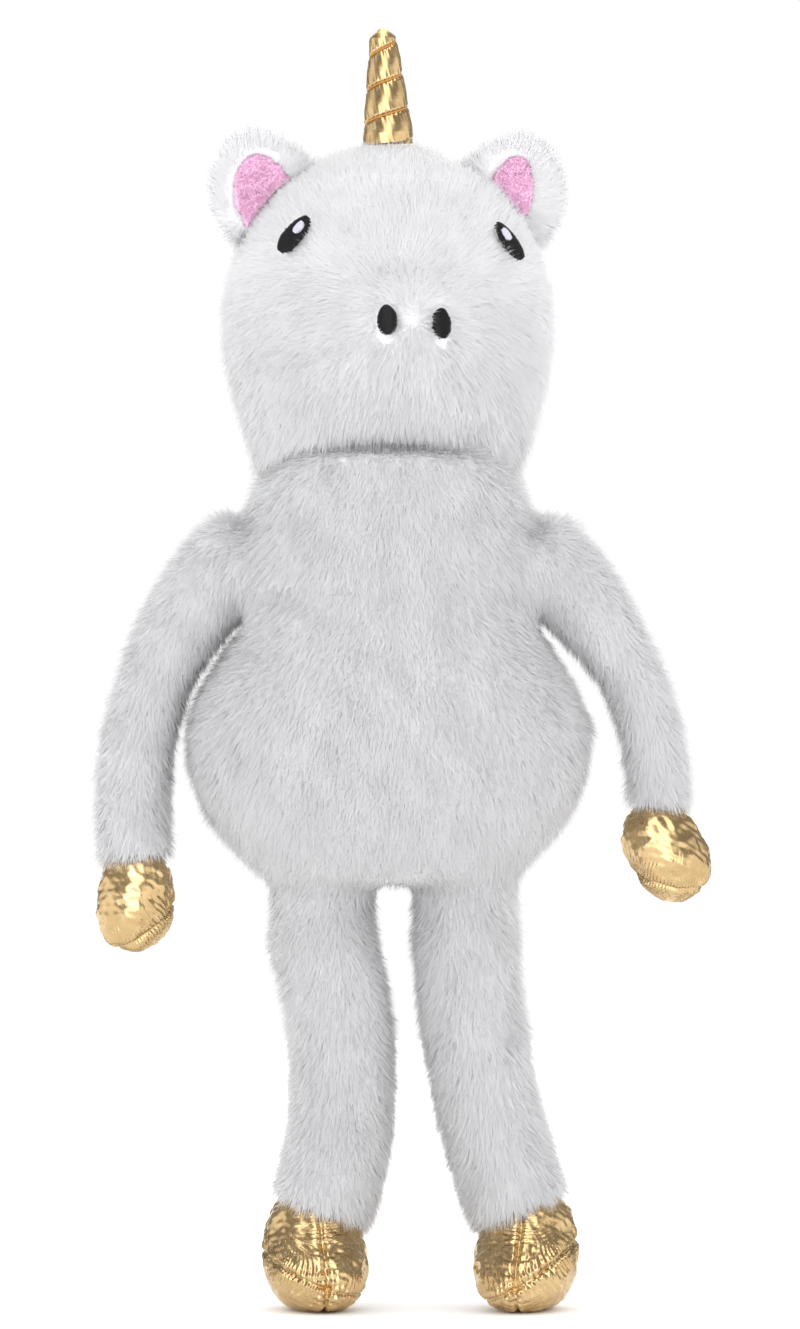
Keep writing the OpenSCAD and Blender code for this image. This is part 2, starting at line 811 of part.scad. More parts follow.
module foot_inner_panel(side) {
    color("khaki") foot_upper(side, -1);
}

module foot_sole(side) {
    color("goldenrod") place() at_ankle(side) intersection() {
        foot_shell(side);
        foot_sole_side(side, 0);
    }
}

module foot_stuffing(side) {
    color("lightyellow") place() at_ankle(side) foot_form(side, gold_t + stuffing_gap);
}

module foot_left_outer_panel() {
    foot_outer_panel(LEFT);
}

module foot_right_outer_panel() {
    foot_outer_panel(RIGHT);
}

module foot_left_inner_panel() {
    foot_inner_panel(LEFT);
}

module foot_right_inner_panel() {
    foot_inner_panel(RIGHT);
}

module foot_left_sole() {
    foot_sole(LEFT);
}

module foot_right_sole() {
    foot_sole(RIGHT);
}

module foot_left_stuffing() {
    foot_stuffing(LEFT);
}

module foot_right_stuffing() {
    foot_stuffing(RIGHT);
}

torso_front_panel();
torso_back_panel();
torso_stuffing();
closing_seam_thread();
head_face_panel();
head_back_panel();
head_stuffing();
ear_left_shell();
ear_right_shell();
ear_left_lining();
ear_right_lining();
eye_left();
eye_right();
eye_left_glint();
eye_right_glint();
nostril_left();
nostril_right();
horn_cover();
horn_stuffing();
horn_thread();
arm_left_sleeve();
arm_right_sleeve();
arm_left_stuffing();
arm_right_stuffing();
hand_left_wrap();
hand_right_wrap();
hand_left_sole();
hand_right_sole();
hand_left_stuffing();
hand_right_stuffing();
leg_left_sleeve();
leg_right_sleeve();
leg_left_stuffing();
leg_right_stuffing();
foot_left_outer_panel();
foot_right_outer_panel();
foot_left_inner_panel();
foot_right_inner_panel();
foot_left_sole();
foot_right_sole();
foot_left_stuffing();
foot_right_stuffing();
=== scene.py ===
"""A long-legged soft toy unicorn: white fur, gold fabric hooves and horn, embroidered face."""
import json
import math

import bpy
import numpy as np
from bpy.props import FloatProperty, FloatVectorProperty, IntProperty, PointerProperty
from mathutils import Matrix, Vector
from mathutils.bvhtree import BVHTree


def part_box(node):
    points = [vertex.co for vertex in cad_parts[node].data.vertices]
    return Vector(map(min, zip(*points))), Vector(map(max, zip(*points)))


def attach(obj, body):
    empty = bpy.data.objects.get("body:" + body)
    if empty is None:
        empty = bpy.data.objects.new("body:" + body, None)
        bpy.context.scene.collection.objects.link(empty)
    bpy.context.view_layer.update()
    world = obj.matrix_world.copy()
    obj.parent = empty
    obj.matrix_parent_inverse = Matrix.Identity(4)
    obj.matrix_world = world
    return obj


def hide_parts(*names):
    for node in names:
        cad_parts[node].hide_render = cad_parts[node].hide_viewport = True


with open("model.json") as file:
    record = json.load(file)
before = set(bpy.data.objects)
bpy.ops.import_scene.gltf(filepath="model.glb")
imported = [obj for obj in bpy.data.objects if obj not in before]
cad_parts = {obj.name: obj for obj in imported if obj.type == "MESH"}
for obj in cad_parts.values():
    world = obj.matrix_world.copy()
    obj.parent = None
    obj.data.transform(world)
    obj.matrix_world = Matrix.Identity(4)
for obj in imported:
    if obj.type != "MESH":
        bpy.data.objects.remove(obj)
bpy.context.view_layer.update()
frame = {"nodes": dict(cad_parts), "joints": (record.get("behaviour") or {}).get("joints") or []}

bl_info = {
    "name": "Soft Toy Unicorn",
    "version": (1, 0, 0),
    "blender": (4, 5, 0),
    "location": "View3D > Sidebar > Unicorn",
    "description": "Dresses the soft toy unicorn's frame in fur, gold fabric and embroidery",
    "category": "Object",
}

SIDES = ("left", "right")
MM = 0.001


# ---------------------------------------------------------------- settings

def colour(name, description, value):
    return FloatVectorProperty(name=name, description=description, default=value, size=3,
                               min=0, max=1, subtype="COLOR")


def length(name, description, value, low, high):
    return FloatProperty(name=name, description=description, default=value, min=low, max=high,
                         unit="LENGTH", subtype="DISTANCE")


class UnicornFur(bpy.types.PropertyGroup):
    pile: length("Pile", "Length of a tuft of fur", 0.0122, 0.004, 0.03)
    tuft: length("Tuft width", "Width of a tuft at its root", 0.00072, 0.0003, 0.003)
    density: FloatProperty(name="Density", description="Tufts on a square centimetre of fabric",
                           default=150, min=5, max=400)
    lift: FloatProperty(name="Lift", description="How far the pile stands up, 0 flat to 1 upright",
                        default=0.42, min=0, max=1, subtype="FACTOR")
    clump: FloatProperty(name="Clumping", description="How far the tips of a lock draw together",
                         default=0.24, min=0, max=1, subtype="FACTOR")
    tip: colour("Tip colour", "Colour at the tips", (0.96, 0.96, 0.965))
    # The root colour is darker and cooler than the tip colour: painted shade down in the pile.
    root: colour("Root colour", "Colour down in the pile", (0.90, 0.90, 0.925))
    lining: colour("Lining colour", "Pink of the ear linings", (1.0, 0.64, 0.86))
    lining_pile: length("Lining pile", "Pile of the ear linings", 0.0026, 0.001, 0.006)


class UnicornGold(bpy.types.PropertyGroup):
    gold: colour("Gold", "Lit colour of the foil fabric", (0.72, 0.52, 0.27))
    # The shade colour is painted shade in the foil's creases and painted dark reflections.
    shade: colour("Shade", "Colour in the foil's creases", (0.42, 0.28, 0.125))
    # The glint colour makes painted highlights: near-white flecks in the base colour.
    glint: colour("Glint", "Colour of the foil's brightest flecks", (1.0, 0.90, 0.62))
    thread: colour("Thread", "Colour of the thread wound round the horn", (0.62, 0.30, 0.07))
    pucker: length("Pucker", "Height of the puckers along a seam", 0.0007, 0, 0.003)
    pucker_pitch: length("Pucker pitch", "Distance between puckers", 0.0042, 0.001, 0.01)
    seam: length("Seam depth", "Depth of a sewn seam", 0.0022, 0, 0.005)
    horn_turns: FloatProperty(name="Horn turns", description="Turns of thread up the horn",
                              default=3.0, min=1, max=8)


class UnicornFace(bpy.types.PropertyGroup):
    black: colour("Black", "Colour of the black embroidery", (0.005, 0.005, 0.006))
    pale: colour("Highlight", "Colour of the eyes' embroidered highlights", (0.74, 0.73, 0.84))
    stitch: length("Stitch", "Distance between embroidery threads", 0.00055, 0.0002, 0.002)


class UnicornStage(bpy.types.PropertyGroup):
    floor: colour("Floor", "Colour of the floor and backdrop", (0.95, 0.95, 0.95))
    view_height: length("View height", "Height that the picture takes in", 0.8313, 0.2, 3)
    distance: length("Distance", "Distance of the camera", 4.2, 1, 10)
    ambient: FloatProperty(name="Ambient", description="Strength of the light from all round",
                           default=1.48, min=0, max=5)
    seed: IntProperty(name="Seed", description="Seed of everything scattered", default=7, min=0)


# ---------------------------------------------------------------- material graphs

class Wire:
    """A node socket or a number that adds Math nodes when it is used in an expression."""

    def __init__(self, graph, socket):
        self.graph = graph
        self.socket = socket

    def _math(self, operation, a, b):
        return self.graph.node("ShaderNodeMath", {"operation": operation}, {0: a, 1: b})

    def __add__(self, other):
        return self._math("ADD", self, other)

    __radd__ = __add__

    def __sub__(self, other):
        return self._math("SUBTRACT", self, other)

    def __rsub__(self, other):
        return self._math("SUBTRACT", other, self)

    def __mul__(self, other):
        return self._math("MULTIPLY", self, other)

    __rmul__ = __mul__

    def clamp(self, low=0, high=1):
        return self._math("MINIMUM", self._math("MAXIMUM", self, low), high)


class Graph:
    """A material's node tree with one Principled shader."""

    def __init__(self, name, **constants):
        self.material = bpy.data.materials.new(name)
        self.material.use_nodes = True
        self.tree = self.material.node_tree
        self.shader = self.tree.nodes["Principled BSDF"]
        for socket, value in constants.items():
            self.shader.inputs[socket.replace("_", " ")].default_value = value

    def node(self, kind, settings=None, inputs=None, output=0):
        made = self.tree.nodes.new(kind)
        for key, value in (settings or {}).items():
            if key == "stops":
                self._stops(made.color_ramp, value)
            else:
                setattr(made, key, value)
        for key, value in (inputs or {}).items():
            if isinstance(value, Wire):
                self.tree.links.new(value.socket, made.inputs[key])
            else:
                made.inputs[key].default_value = value
        return Wire(self, made.outputs[output])

    @staticmethod
    def _stops(ramp, stops):
        while len(ramp.elements) < len(stops):
            ramp.elements.new(0.5)
        for element, (place, shade) in zip(ramp.elements, stops):
            element.position = place
            element.color = (*shade, 1)

    def place(self):
        return self.node("ShaderNodeTexCoord", output="Object")

    def noise(self, scale, detail=2, rough=0.5, where=None):
        return self.node("ShaderNodeTexNoise", {},
                         {"Vector": where or self.place(), "Scale": scale, "Detail": detail,
                          "Roughness": rough})

    def mix(self, factor, a, b):
        """A colour between a and b, through the Mix node's colour sockets."""
        made = self.tree.nodes.new("ShaderNodeMix")
        made.data_type = "RGBA"
        for socket, value in ((made.inputs[0], factor), (made.inputs[6], a), (made.inputs[7], b)):
            if isinstance(value, Wire):
                self.tree.links.new(value.socket, socket)
            else:
                socket.default_value = (*value, 1) if isinstance(value, tuple) else value
        return Wire(self, made.outputs[2])

    def bump(self, height, strength, distance):
        return self.node("ShaderNodeBump", {}, {"Height": height, "Strength": strength,
                                                "Distance": distance})

    def let_through(self, share, shade):
        """Mixes in a constant share of light from behind, as thin pile lets through."""
        thin = self.tree.nodes.new("ShaderNodeBsdfTranslucent")
        thin.inputs["Color"].default_value = (*shade, 1)
        both = self.tree.nodes.new("ShaderNodeMixShader")
        both.inputs[0].default_value = share
        self.tree.links.new(self.shader.outputs[0], both.inputs[1])
        self.tree.links.new(thin.outputs[0], both.inputs[2])
        self.tree.links.new(both.outputs[0], self.tree.nodes["Material Output"].inputs[0])

    def feed(self, **links):
        for socket, wire in links.items():
            self.tree.links.new(wire.socket, self.shader.inputs[socket.replace("_", " ")])
        return self.material


def fur_material(name, tip, root):
    """Pile whose colour runs from the root, darker as painted shade down in the pile, to the tip
    along V, and varies a little along U.
    """
    graph = Graph(name, Roughness=0.85, Sheen_Weight=0.25, Sheen_Roughness=0.5)
    uv = graph.node("ShaderNodeUVMap", {"uv_map": "OFBake"})
    parts = graph.tree.nodes.new("ShaderNodeSeparateXYZ")
    graph.tree.links.new(uv.socket, parts.inputs[0])
    across, along = Wire(graph, parts.outputs[0]), Wire(graph, parts.outputs[1])
    stray = graph.node("ShaderNodeTexNoise", {"noise_dimensions": "1D"}, {"W": across * 60.0})
    # Darker towards the root along V: painted shade down in the pile. The noise along U is random
    # variation from tuft to tuft.
    root_shade_and_streaks = (along * 0.8 + stray * 0.5 - 0.05).clamp()
    graph.let_through(share=0.4, shade=tip)
    return graph.feed(Base_Color=graph.mix(root_shade_and_streaks, tuple(root), tuple(tip)))


def skin_material(name, tip, root):
    """The woven backing under the pile, with the pile's own dapple; the darker of its two colours
    is painted shade under the pile.
    """
    graph = Graph(name, Roughness=0.9, Sheen_Weight=0.2)
    dapple = graph.noise(240.0, 4, 0.6)
    fleck = graph.noise(900.0, 2, 0.5)
    height = dapple * 0.7 + fleck * 0.3
    return graph.feed(Base_Color=graph.mix(dapple, tuple(root), tuple(tip)),
                      Normal=graph.bump(height, 0.6, 0.002))


def gold_material(gold):
    """Shiny foil fabric: broad folds and fine crackle, with painted shade and painted dark
    reflections where they sink, and painted glints as bright flecks.
    """
    graph = Graph("gold foil fabric", Roughness=0.3, Metallic=1.0)
    where = graph.place()
    fold = graph.noise(34.0, 2, 0.45, where)
    crackle = graph.noise(260.0, 4, 0.65, where)
    # Lower in the fold and crackle noise, the colour goes to the shade colour: painted shade in the
    # creases and painted dark reflections.
    painted_shade_mix = (fold * 1.2 + crackle * 0.8 - 0.45).clamp()
    dark = graph.mix(painted_shade_mix, tuple(gold.shade), tuple(gold.gold))
    # Near-white flecks on the crackle's peaks: painted glints.
    painted_glint_share = ((crackle - 0.62) * 4.0).clamp(0, 0.6)
    lit = graph.mix(painted_glint_share, dark, tuple(gold.glint))
    height = fold * 0.9 + crackle * 0.06
    rough = (0.14 + crackle * 0.22).clamp(0.14, 0.6)
    return graph.feed(Base_Color=lit, Roughness=rough, Normal=graph.bump(height, 0.4, 0.0024))


def thread_material(name, shade, shine=0.55):
    """Twisted thread: a fine slanting ply in the bump, with the colour darker in the ply's hollows
    as painted shade.
    """
    graph = Graph(name, Roughness=shine, Specular_IOR_Level=0.3)
    ply = graph.noise(1500.0, 2, 0.5)
    # A darker copy of the thread colour goes in the ply's low places: painted shade.
    hollow_shade = tuple(c * 0.62 for c in shade)
    return graph.feed(Base_Color=graph.mix(ply, hollow_shade, tuple(shade)),
                      Normal=graph.bump(ply, 0.4, 0.0004))


# ---------------------------------------------------------------- mesh helpers

def deselect():
    if bpy.context.mode != "OBJECT":
        bpy.ops.object.mode_set(mode="OBJECT")
    bpy.ops.object.select_all(action="DESELECT")


def activate(piece):
    deselect()
    piece.select_set(True)
    bpy.context.view_layer.objects.active = piece


def new_piece(name, points, faces, material=None):
    mesh = bpy.data.meshes.new(name)
    mesh.from_pydata(points, [], faces)
    mesh.update()
    piece = bpy.data.objects.new(name, mesh)
    bpy.context.collection.objects.link(piece)
    if material:
        mesh.materials.append(material)
    return piece


def copy_of(name, *nodes):
    """One new object that holds copies of these CAD nodes' meshes, welded."""
    deselect()
    copies = []
    for node in nodes:
        source = frame["nodes"][node]
        piece = bpy.data.objects.new(name, source.data.copy())
        bpy.context.collection.objects.link(piece)
        piece.data.materials.clear()
        piece.select_set(True)
        copies.append(piece)
    bpy.context.view_layer.objects.active = copies[0]
    if len(copies) > 1:
        bpy.ops.object.join()
    piece = bpy.context.view_layer.objects.active
    piece.name = name
    bpy.ops.object.mode_set(mode="EDIT")
    bpy.ops.mesh.select_all(action="SELECT")
    bpy.ops.mesh.remove_doubles(threshold=0.00002)
    bpy.ops.object.mode_set(mode="OBJECT")
    return piece


def apply_modifier(piece, kind, **settings):
    activate(piece)
    modifier = piece.modifiers.new(kind, kind)
    for key, value in settings.items():
        setattr(modifier, key, value)
    bpy.ops.object.modifier_apply(modifier=modifier.name)
    return piece


def add_ball(piece, centre, radius):
    """Joins a ball to a piece, to be melted in by the next remesh."""
    deselect()
    bpy.ops.mesh.primitive_ico_sphere_add(subdivisions=3, radius=radius, location=centre)
    bpy.ops.object.transform_apply(location=True, rotation=True, scale=True)
    piece.select_set(True)
    bpy.context.view_layer.objects.active = piece
    bpy.ops.object.join()
    return piece


def extend(piece, heart, scale, move):
    """Joins a smaller, shifted copy of a piece to it, to carry its root into its neighbour."""
    root = piece.copy()
    root.data = piece.data.copy()
    bpy.context.collection.objects.link(root)
    write_points(root, heart + (read_points(root) - heart) * scale + move)
    deselect()
    root.select_set(True)
    piece.select_set(True)
    bpy.context.view_layer.objects.active = piece
    bpy.ops.object.join()
    return piece


def melt(piece, voxel, smooth=6, factor=0.5):
    """Turns joined forms into one even skin."""
    apply_modifier(piece, "REMESH", mode="VOXEL", voxel_size=voxel)
    if smooth:
        apply_modifier(piece, "SMOOTH", iterations=smooth, factor=factor)
    return piece


def stuff(piece, pressure=4.0, cap=0.004, frames=20, stiff=18.0):
    """Fills a skin by cloth simulation, and keeps every point within cap of where it was."""
    before = read_points(piece)
    activate(piece)
    cloth = piece.modifiers.new("stuffing", "CLOTH")
    cloth.settings.use_pressure = True
    cloth.settings.uniform_pressure_force = pressure
    cloth.settings.effector_weights.gravity = 0
    cloth.settings.tension_stiffness = stiff
    cloth.settings.compression_stiffness = stiff
    cloth.settings.bending_stiffness = 0.6
    cloth.settings.quality = 5
    cloth.point_cache.frame_start = 1
    cloth.point_cache.frame_end = frames
    scene = bpy.context.scene
    for step in range(1, frames + 1):
        scene.frame_set(step)
    bpy.ops.object.modifier_apply(modifier=cloth.name)
    scene.frame_set(1)
    after = read_points(piece)
    move = after - before
    size = np.linalg.norm(move, axis=1, keepdims=True)
    write_points(piece, before + move * np.minimum(1, cap / np.maximum(size, 1e-9)))
    return piece


def read_points(piece):
    points = np.empty(len(piece.data.vertices) * 3)
    piece.data.vertices.foreach_get("co", points)
    return points.reshape(-1, 3)


def write_points(piece, points):
    piece.data.vertices.foreach_set("co", np.ascontiguousarray(points).ravel())
    piece.data.update()


def read_normals(piece):
    normals = np.empty(len(piece.data.vertices) * 3)
    piece.data.vertices.foreach_get("normal", normals)
    return normals.reshape(-1, 3)


def shade_smooth(piece):
    piece.data.shade_smooth()
    return piece


def finish_piece(piece, body, nodes, material=None):
    """Gives a piece its finish and its body, and hides the CAD nodes that it stands for."""
    if material:
        piece.data.materials.clear()
        piece.data.materials.append(material)
    if nodes:
        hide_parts(*nodes)
    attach(piece, body)
    return piece


def unit(vectors):
    return vectors / np.maximum(np.linalg.norm(vectors, axis=-1, keepdims=True), 1e-9)


def waves(points, size, seed):
    """A smooth wandering value between about -1 and 1 at each point, with bumps of that size."""
    rng = np.random.default_rng(seed)
    total = np.zeros(len(points))
    for _ in range(6):
        way = unit(rng.normal(size=3)) * (2 * math.pi / size) * rng.uniform(0.6, 1.5)
        total += np.sin(points @ way + rng.uniform(0, 2 * math.pi))
    return total / 3


def joint_at(name):
    for joint in frame["joints"]:
        if joint["name"] == name:
            return Vector(joint["pos_m"])
    raise ValueError(f"no joint named {name}")


# ---------------------------------------------------------------- fur

def scatter(skin, count, rng):
    """Points, normals on a skin, spread evenly by area."""
    mesh = skin.data
    mesh.calc_loop_triangles()
    corners = np.empty(len(mesh.loop_triangles) * 3, dtype=np.int32)
    mesh.loop_triangles.foreach_get("vertices", corners)
    corners = corners.reshape(-1, 3)
    points, normals = read_points(skin), read_normals(skin)
    a, b, c = (points[corners[:, k]] for k in range(3))
    area = np.linalg.norm(np.cross(b - a, c - a), axis=1) / 2
    chosen = np.searchsorted(np.cumsum(area), rng.uniform(0, area.sum(), count))
    chosen = np.minimum(chosen, len(area) - 1)
    u, v = rng.uniform(size=count), rng.uniform(size=count)
    over = u + v > 1
    u[over], v[over] = 1 - u[over], 1 - v[over]
    share = np.stack([1 - u - v, u, v], axis=1)[:, :, None]
    place = (points[corners[chosen]] * share).sum(axis=1)
    facing = unit((normals[corners[chosen]] * share).sum(axis=1))
    return place, facing, area.sum()


def locks(points, size, seed):
    """The middle of the lock that each tuft belongs to."""
    warp = np.stack([waves(points, size * 4, seed + k) for k in range(3)], axis=1) * size
    cell = np.floor((points + warp) / size).astype(np.int64)
    key = (cell[:, 0] * 73856093) ^ (cell[:, 1] * 19349663) ^ (cell[:, 2] * 83492791)
    _, index = np.unique(key, return_inverse=True)
    count = np.bincount(index)
    return np.stack([np.bincount(index, points[:, k]) / count for k in range(3)], axis=1)[index]


def grow_pile(name, skin, comb, seed, material, density=1.0, pile=None, lift=None, keep=None,
              tuft=None, clump=None, part=None):
    """Fur as tapered tufts. comb(points, normals) gives the way the pile is brushed, keep(points)
    a share from 0, bare, to 1, full length, and part(points) the area that this piece covers."""
    fur = bpy.context.scene.unicorn_fur
    rng = np.random.default_rng(seed)
    pile = pile or fur.pile
    lift = fur.lift if lift is None else lift
    tuft = tuft or fur.tuft
    clump = fur.clump if clump is None else clump
    area = scatter(skin, 1, rng)[2]
    thin = 1.0
    count = int(min(500000, area * 1e4 * fur.density * density * thin))
    place, facing, _ = scatter(skin, count, rng)
    if part is not None:
        inside = part(place)
        place, facing = place[inside], facing[inside]
    place, facing = place[:198000], facing[:198000]
    if keep is not None:
        full = keep(place)
        stays = full > 0.05
        place, facing, full = place[stays], facing[stays], full[stays]
    else:
        full = np.ones(len(place))
    n = len(place)
    way = comb(place, facing)
    way = way + 0.11 * np.stack([waves(place, 0.06, seed + k) for k in (1, 2, 3)], axis=1)
    way = way + rng.normal(scale=0.22, size=(n, 3))
    way = unit(way - facing * (way * facing).sum(axis=1, keepdims=True))
    stand = np.clip(lift + 0.04 * waves(place, 0.03, seed + 4) + rng.normal(scale=0.07, size=n),
                    0.08, 1)[:, None]
    grow = unit(facing * stand + way * (1 - stand))
    size = pile * full * (0.82 + 0.07 * waves(place, 0.02, seed + 5) + rng.uniform(-0.25, 0.3, n))
    size = np.maximum(size, pile * 0.25 * full)[:, None]
    tip = place + grow * size
    tip += clump * (locks(place, 0.0065, seed + 6) - place)
    roll = rng.normal(scale=0.5, size=(n, 1))
    side = unit(np.cross(grow, facing))
    side = side * np.cos(roll) + np.cross(grow, side) * np.sin(roll)
    half = side * tuft * rng.uniform(0.35, 0.65, (n, 1))
    root = place - facing * 0.0006
    corners = np.stack([root - half, root + half, tip], axis=1).reshape(-1, 3)
    mesh = bpy.data.meshes.new(name)
    mesh.vertices.add(3 * n)
    mesh.vertices.foreach_set("co", corners.ravel())
    mesh.loops.add(3 * n)
    order = np.arange(3 * n, dtype=np.int32)
    mesh.loops.foreach_set("vertex_index", order)
    mesh.polygons.add(n)
    mesh.polygons.foreach_set("loop_start", order[::3])
    mesh.update(calc_edges=True)
    out = np.cross(corners[1::3] - corners[0::3], corners[2::3] - corners[0::3])
    if (out * facing).sum() < 0:
        mesh.flip_normals()
    uv = mesh.uv_layers.new(name="OFBake")
    across = np.repeat(rng.uniform(0.02, 0.98, n), 3)
    along = np.tile([0.02, 0.02, 0.98], n)
    index = np.empty(3 * n, dtype=np.int32)
    mesh.loops.foreach_get("vertex_index", index)
    uv.data.foreach_set("uv", np.stack([across[index], along[index]], axis=1).ravel())
    mesh.shade_smooth()
    normals = unit(np.repeat(facing, 3, axis=0) + 0.25 * np.repeat(unit(way), 3, axis=0))
    mesh.normals_split_custom_set_from_vertices(normals)
    piece = bpy.data.objects.new(name, mesh)
    bpy.context.collection.objects.link(piece)
    mesh.materials.append(material)
    return piece


def brushed(direction):
    """A comb that brushes the same way everywhere."""
    way = np.array(direction, dtype=float)
    return lambda points, normals: np.tile(way, (len(points), 1))


# ---------------------------------------------------------------- pieces

def make_materials():
    """Every finish once, by name."""
    scene = bpy.context.scene
    fur, gold, face = scene.unicorn_fur, scene.unicorn_gold, scene.unicorn_face
    # A darker pink for the lining pile's roots and the pink backing: painted shade down in the
    # pile.
    pink_root_shade = tuple(c * 0.93 for c in fur.lining)
    return {
        "pile": fur_material("white fur pile", fur.tip, fur.root),
        # The white backing takes the root colour and a copy darker still: painted shade under the
        # pile, with random dapple between the two.
        "skin": skin_material("white fur backing", fur.root, tuple(c * 0.85 for c in fur.root)),
        "pink pile": fur_material("pink plush pile", fur.lining, pink_root_shade),
        "pink skin": skin_material("pink plush backing", fur.lining, pink_root_shade),
        "gold": gold_material(gold),
        "amber": thread_material("amber thread", gold.thread),
        "black": thread_material("black embroidery thread", face.black, 0.42),
        "pale": thread_material("pale embroidery thread", face.pale, 0.5),
        "white thread": thread_material("white closing thread", fur.tip),
    }


MATERIALS = {}


def finish_of(name):
    if not MATERIALS:
        MATERIALS.update(make_materials())
    return MATERIALS[name]


def fur_body(name, nodes, source, body, comb, seed, voxel=0.004, balls=(), keep=None, swell=0.0,
             density=1.0, smooth=8, pile=None, lift=None, halves=False):
    """A stuffed fur skin and the pile on it."""
    skin = copy_of(f"{name}_skin", *source)
    for centre, radius in balls:
        add_ball(skin, centre, radius)
    melt(skin, voxel, smooth)
    stuff(skin)
    if swell:
        write_points(skin, read_points(skin) + read_normals(skin) * swell)
    shade_smooth(skin)
    parts = {"": None}
    if halves:
        middle = read_points(skin)[:, 1].mean()
        parts = {"_front": lambda points: points[:, 1] < middle,
                 "_back": lambda points: points[:, 1] >= middle}
    for number, (part_name, part) in enumerate(parts.items()):
        pelt = grow_pile(f"{name}_pile{part_name}", skin, comb, seed + 2 * number,
                         finish_of("pile"), density * (0.6 if number else 1), pile=pile,
                         lift=lift, keep=keep, part=part)
        finish_piece(pelt, body, ())
    finish_piece(skin, body, nodes, finish_of("skin"))
    return skin


class UnicornOperator:
    """What every operator of this toy shares."""
    bl_options = {"REGISTER", "UNDO"}

    def execute(self, context):
        self.build(context)
        return {"FINISHED"}


class UNICORN_OT_stage(UnicornOperator, bpy.types.Operator):
    """Lay the pale floor, light the world with a bright backdrop, and set the lights and the camera
    """
    bl_idname = "unicorn.stage"
    bl_label = "Stage"

    def build(self, context):
        stage = context.scene.unicorn_stage
        deselect()
        bpy.ops.mesh.primitive_plane_add(size=6, location=(0, 0, -0.0005))
        floor = context.active_object
        floor.name = "stage_floor"
        bpy.ops.object.transform_apply(location=True, rotation=True, scale=True)
        graph = Graph("pale studio floor", Roughness=0.95)
        graph.shader.inputs["Base Color"].default_value = (*stage.floor, 1)
        floor.data.materials.append(graph.material)
        world = bpy.data.worlds.new("soft studio")
        context.scene.world = world
        world.use_nodes = True
        tree = world.node_tree
        sky = tree.nodes["Background"]
        sky.inputs["Strength"].default_value = 1.0
        spot = tree.nodes.new("ShaderNodeTexCoord")
        parts = tree.nodes.new("ShaderNodeSeparateXYZ")
        aside = tree.nodes.new("ShaderNodeMath")
        aside.operation = "ABSOLUTE"
        ramp = tree.nodes.new("ShaderNodeValToRGB")
        seen = tree.nodes.new("ShaderNodeLightPath")
        stops = ((0, 1.0), (0.22, 0.85), (0.36, 0.16), (0.8, 0.10), (1.0, 0.5))
        while len(ramp.color_ramp.elements) < len(stops):
            ramp.color_ramp.elements.new(0.5)
        for element, (where, shade) in zip(ramp.color_ramp.elements, stops):
            element.position = where
            element.color = (shade, shade, shade, 1)
        tree.links.new(spot.outputs["Generated"], parts.inputs[0])
        tree.links.new(parts.outputs["X"], aside.inputs[0])
        tree.links.new(aside.outputs[0], ramp.inputs[0])
        shine = tree.nodes.new("ShaderNodeMix")
        backdrop = tree.nodes.new("ShaderNodeMix")
        shine.data_type = backdrop.data_type = "RGBA"
        shine.inputs[6].default_value = (stage.ambient / 3, stage.ambient / 3, stage.ambient / 3, 1)
        backdrop.inputs[7].default_value = (0.34, 0.34, 0.34, 1)
        sky.inputs["Strength"].default_value = 3.0
        for mixer, key in ((shine, "Is Glossy Ray"), (backdrop, "Is Camera Ray")):
            tree.links.new(seen.outputs[key], mixer.inputs[0])
        tree.links.new(ramp.outputs["Color"], shine.inputs[7])
        tree.links.new(shine.outputs[2], backdrop.inputs[6])
        tree.links.new(backdrop.outputs[2], sky.inputs["Color"])
        for name, place, size, power in (
            ("key", (-1.1, -2.6, 0.55), 1.3, 15),
            ("fill", (2.2, -1.8, 0.4), 1.6, 9),
        ):
            lamp = bpy.data.lights.new(name, "AREA")
            lamp.size = size
            lamp.energy = power
            holder = bpy.data.objects.new(name, lamp)
            context.collection.objects.link(holder)
            holder.location = place
            holder.rotation_euler = (Vector((0, 0, 0.45)) - Vector(place)).to_track_quat(
                "-Z", "Y").to_euler()
        lens = bpy.data.cameras.new("camera")
        lens.sensor_fit = "VERTICAL"
        lens.sensor_height = 24
        lens.lens = lens.sensor_height * stage.distance / stage.view_height
        camera = bpy.data.objects.new("camera", lens)
        context.collection.objects.link(camera)
        camera.location = (-0.0016, -stage.distance, 0.4025)
        camera.rotation_euler = (math.radians(90), 0, 0)
        context.scene.camera = camera
        context.scene.view_settings.view_transform = "Standard"


class UNICORN_OT_torso(UnicornOperator, bpy.types.Operator):
    """Make the torso's stuffed fur skin, with its rounded shoulders and hips"""
    bl_idname = "unicorn.torso"
    bl_label = "Torso"

    def build(self, context):
        panels = ("torso_front_panel", "torso_back_panel", "torso_stuffing")
        balls = []
        for side, way in (("left", -1), ("right", 1)):
            shoulder, hip = joint_at(f"shoulder_{side}"), joint_at(f"hip_{side}")
            balls += [(shoulder + Vector((way * step, 0, -step / 4)), 0.033)
                      for step in (0.002, 0.018, 0.034)]
            balls += [(hip + Vector((0, 0, step)), 0.0345) for step in (0, 0.014, 0.028, 0.042)]
        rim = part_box("torso_front_panel")[1][2]
        neck = joint_at("neck_nod")
        plug = [(Vector((neck.x + step, neck.y + depth, rim - 0.031)), 0.046)
                for step in (-0.034, -0.017, 0, 0.017, 0.034) for depth in (-0.013, 0.013)]
        inside = np.array((neck.x, neck.y, rim + 0.004))

        def keep(points):
            return np.where(np.linalg.norm((points - inside) / (0.07, 0.045, 0.02), axis=1) < 1,
                            0, 1)

        def comb(points, normals):
            out = points - np.array([neck.x, neck.y, 0])
            out[:, 2] = 0
            return unit(out) * 0.25 + np.array([0, 0, -1.0])

        fur_body("torso", panels, panels, "torso", comb, 11, balls=balls + plug, voxel=0.005,
                 smooth=14, swell=-0.0045, keep=keep, halves=True)


